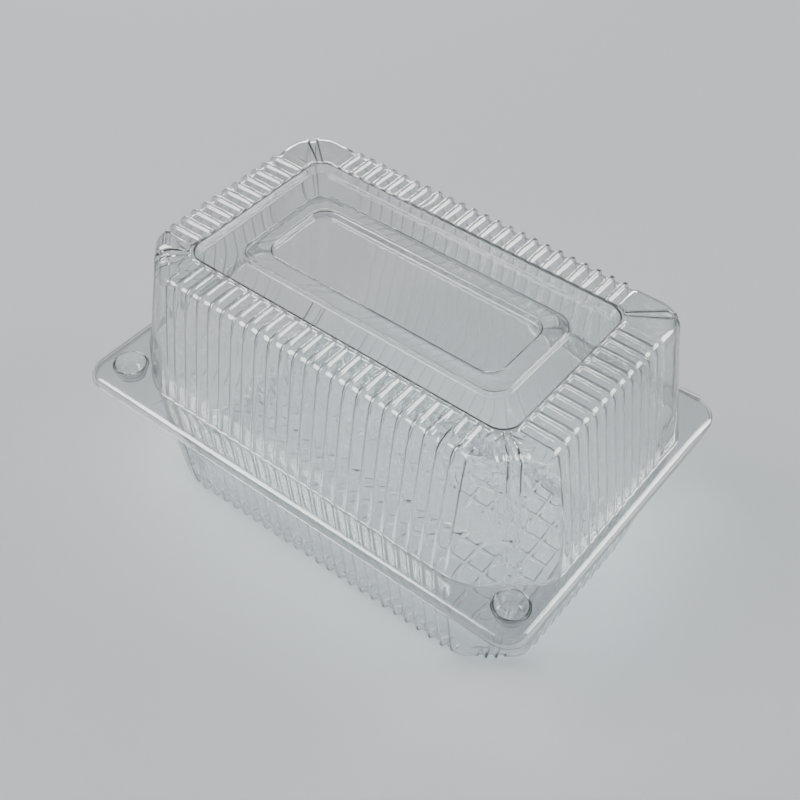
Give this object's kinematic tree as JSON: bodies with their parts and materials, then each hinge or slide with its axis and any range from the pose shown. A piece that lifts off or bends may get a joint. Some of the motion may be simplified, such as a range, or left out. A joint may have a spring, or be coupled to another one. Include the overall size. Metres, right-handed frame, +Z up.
{
  "type": "plastic clamshell pack",
  "caption": "Clear hinged food pack: a ribbed tray with a waffle floor under a deep ribbed lid with a recessed panel and snap buttons.",
  "frame": {"origin": "on the ground under the middle of the closed pack", "axes": "+X along the pack, +Y towards the hinge, +Z up"},
  "size_m": [0.2104, 0.1446, 0.1182],
  "materials": {
    "clear_sheet": "clear thermoformed sheet, glossy"
  },
  "bodies": {
    "tray": {"tray": "clear_sheet"},
    "lid": {"lid": "clear_sheet"}
  },
  "joints": [
    {"name": "lid_hinge", "type": "hinge", "parent": "tray", "child": "lid", "pos_m": [0, 0.07153, 0.06202], "axis": [-1, 0, 0], "range_deg": [0, 180]}
  ]
}
